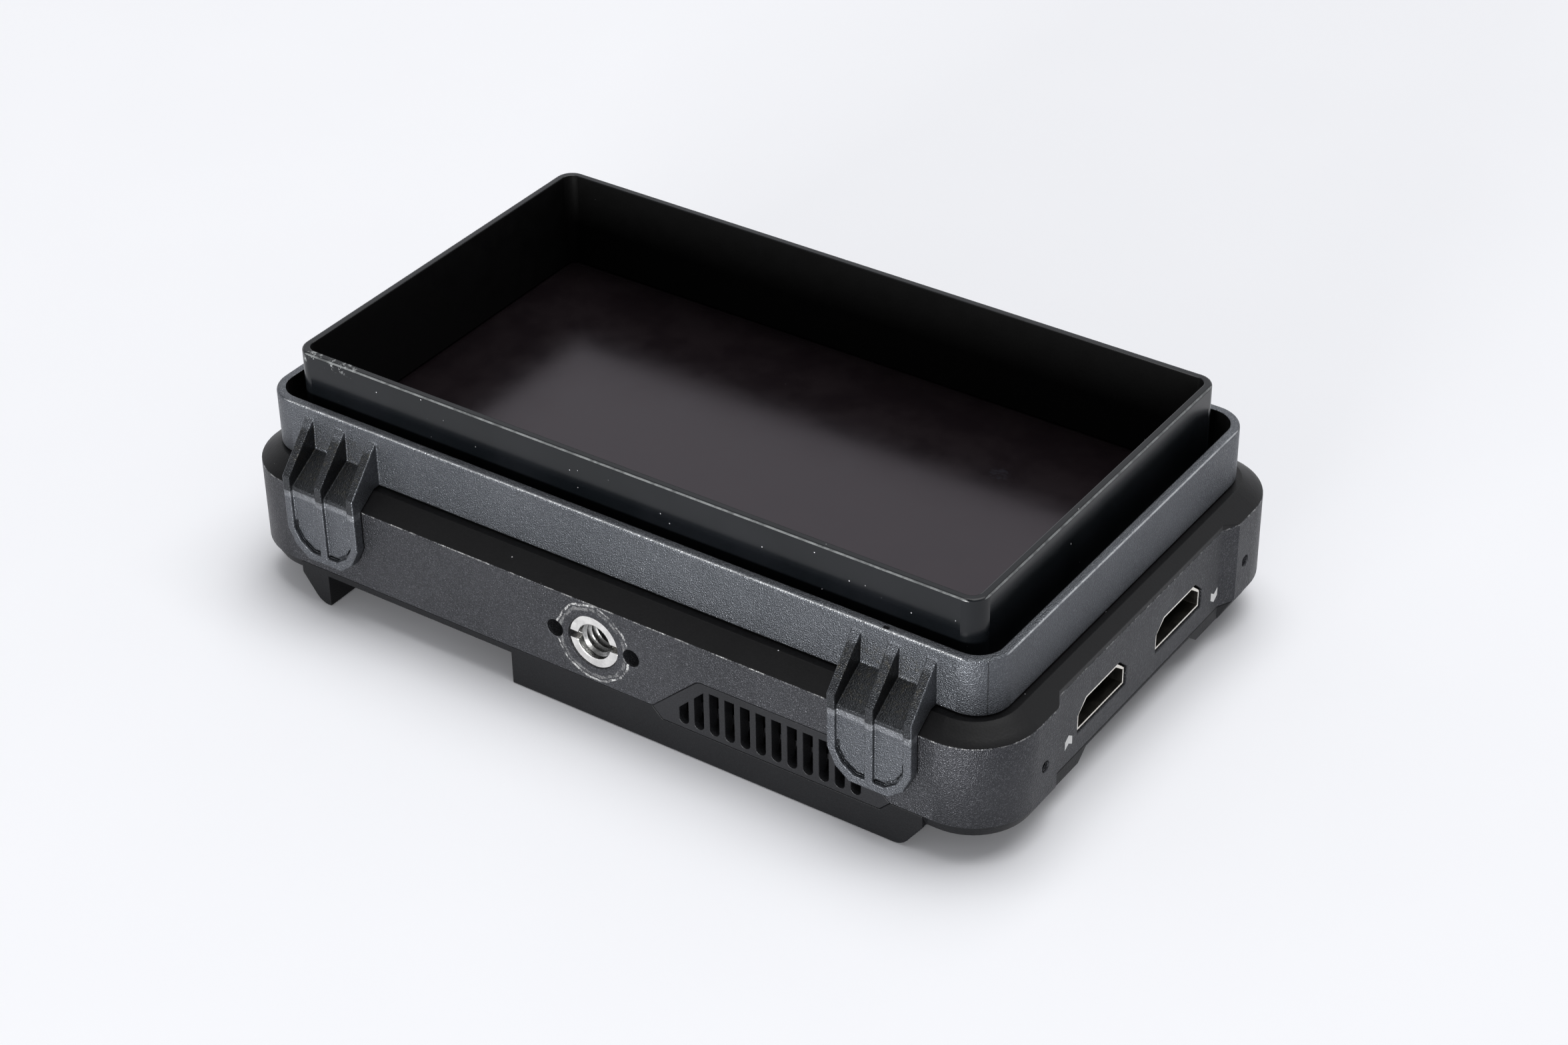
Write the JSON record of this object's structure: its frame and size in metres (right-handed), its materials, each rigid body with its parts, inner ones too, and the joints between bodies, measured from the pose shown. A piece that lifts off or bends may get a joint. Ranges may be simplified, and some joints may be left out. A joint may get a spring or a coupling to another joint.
{
  "type": "camera field monitor with sun hood",
  "caption": "Slim camera monitor lying on its back: grey metal body, black bevel, cover glass, clip-on sun hood with nested walls, side sockets, mounting threads, vents and battery and drive bays.",
  "frame": {"origin": "bottom centre of the part's bounding box, on the surface that the monitor's back lies on", "axes": "+Z is the way the screen faces, X runs along the long side with the two video sockets at +X, and -Y is the side with the reducer in its mounting thread, which is the monitor's top in use"},
  "size_m": [0.151, 0.097, 0.0431],
  "materials": {
    "body_metal": "bead-blasted grey metal, satin, with fine grain",
    "bezel_black": "smooth matt black bevel",
    "screen_glass": "dark cover glass with a matt anti-glare face",
    "panel": "dark display panel",
    "sheet_steel": "plain steel",
    "flex_film": "amber film and enamelled copper",
    "board": "green solder mask",
    "black_plastic": "black moulded plastic",
    "brass": "turned brass",
    "sink_metal": "extruded aluminium",
    "cover_black": "fine-textured charcoal plastic",
    "black_steel": "blackened steel screws",
    "gold": "gold-plated contacts",
    "grey_plastic": "mid-grey moulded plastic",
    "nickel": "nickel-plated socket shell",
    "bright_steel": "turned bright steel with tool marks",
    "hood_grey": "grained grey moulded plastic with a satin sheen",
    "hood_black": "smooth semi-gloss black plastic"
  },
  "bodies": {
    "monitor": {"chassis": "body_metal", "front_bezel": "bezel_black", "cover_glass": "screen_glass", "lcd_panel": "panel", "panel_plate": "sheet_steel", "panel_flex": "flex_film", "main_board": "board", "board_chips": "black_plastic", "board_standoffs": "brass", "board_screws": "sheet_steel", "heat_sink": "sink_metal", "fan_housing": "black_plastic", "fan_stator": "flex_film", "fan_bush": "brass", "rear_cover": "cover_black", "case_screws": "black_steel", "top_vent_grille": "cover_black", "bottom_vent_grille": "cover_black", "battery_plate": "black_plastic", "battery_terminal": "black_plastic", "battery_contacts": "gold", "battery_latch_spring": "sheet_steel", "drive_connector": "black_plastic", "drive_contacts": "gold", "drive_latch_spring": "sheet_steel", "hdmi_in_shell": "nickel", "hdmi_in_tongue": "black_plastic", "hdmi_out_shell": "nickel", "hdmi_out_tongue": "black_plastic", "power_switch": "sheet_steel", "headphone_jack": "black_plastic", "audio_in_jack": "black_plastic", "remote_jack": "black_plastic", "thread_reducer": "bright_steel"},
    "hood": {"hood_frame": "hood_grey", "hood_shade": "hood_black"},
    "fan": {"fan_rotor": "black_plastic", "fan_shaft": "sheet_steel"},
    "power": {"power_button": "grey_plastic"},
    "battery_release": {"battery_latch": "grey_plastic"},
    "drive_release": {"drive_latch": "grey_plastic"}
  },
  "joints": [
    {"name": "hood_pull", "type": "slide", "parent": "monitor", "child": "hood", "axis": [0, 0, 1], "range_m": [0, 0.05]},
    {"name": "fan_spin", "type": "hinge", "parent": "monitor", "child": "fan", "pos_m": [0.0339, -0.0255, 0.012], "axis": [0, 0, 1], "continuous": true},
    {"name": "power_press", "type": "slide", "parent": "monitor", "child": "power", "axis": [1, 0, 0], "range_m": [0, 0.0008], "stiffness_N_per_m": 900, "springref_m": -0.0008},
    {"name": "battery_latch_press", "type": "slide", "parent": "monitor", "child": "battery_release", "axis": [0, 0, 1], "range_m": [0, 0.0014], "stiffness_N_per_m": 700, "springref_m": -0.001, "deforming": ["battery_latch_spring"]},
    {"name": "drive_latch_press", "type": "slide", "parent": "monitor", "child": "drive_release", "axis": [0, 0, 1], "range_m": [0, 0.0014], "stiffness_N_per_m": 700, "springref_m": -0.001, "deforming": ["drive_latch_spring"]}
  ]
}
